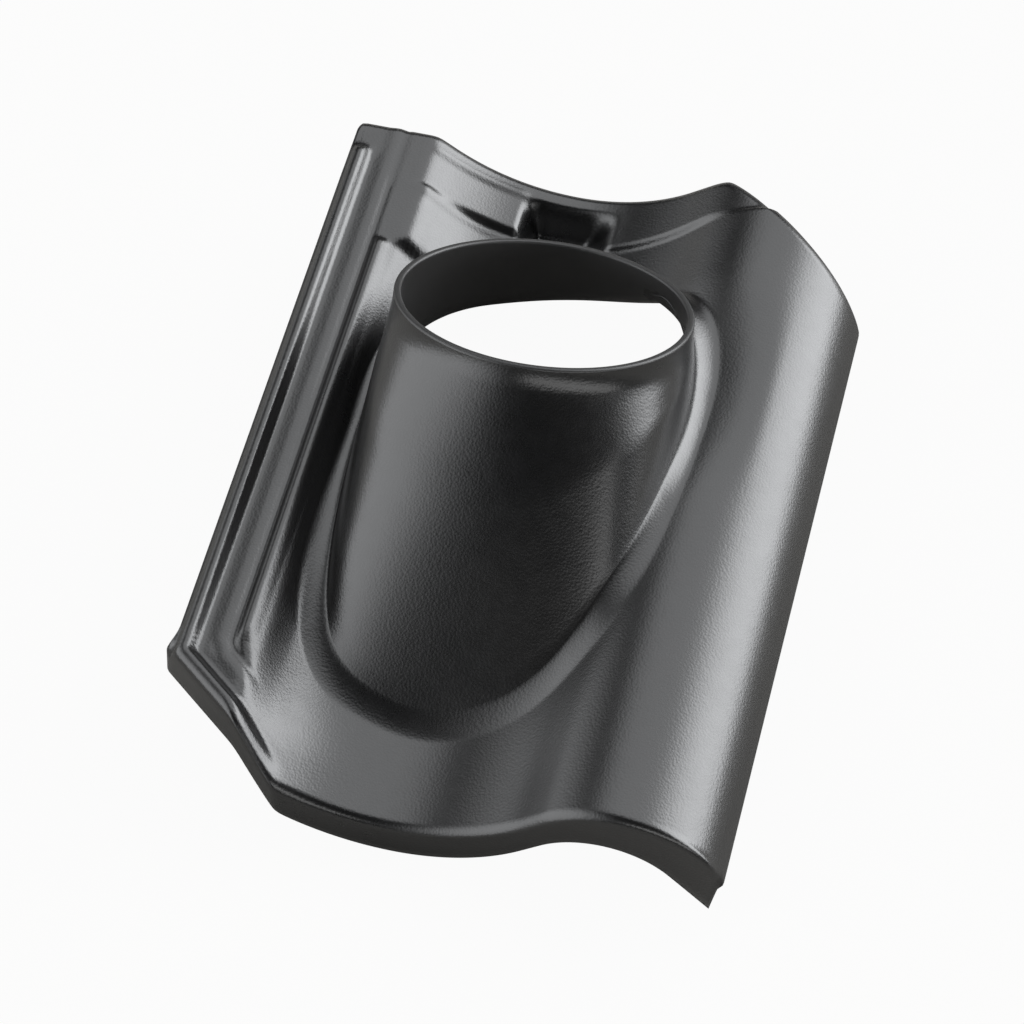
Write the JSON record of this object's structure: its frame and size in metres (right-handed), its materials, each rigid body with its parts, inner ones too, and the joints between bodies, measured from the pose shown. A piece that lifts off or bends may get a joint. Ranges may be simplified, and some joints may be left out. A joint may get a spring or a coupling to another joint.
{
  "type": "roof vent tile",
  "caption": "Black plastic roof vent tile shaped as a pantile, with a flared collar for a vent pipe, a turned-down front lip, side lock ribs and a batten nib.",
  "frame": {"origin": "middle of the tile's plan, at the bottom of the front lip", "axes": "+Y up the roof from the front lip to the head, +X to the roll, +Z square to the tile"},
  "size_m": [0.263, 0.367, 0.1223],
  "materials": {
    "black_sheet": "satin black with a fine leather grain on the outer face"
  },
  "bodies": {
    "root": {"vent_tile": "black_sheet"}
  },
  "joints": []
}
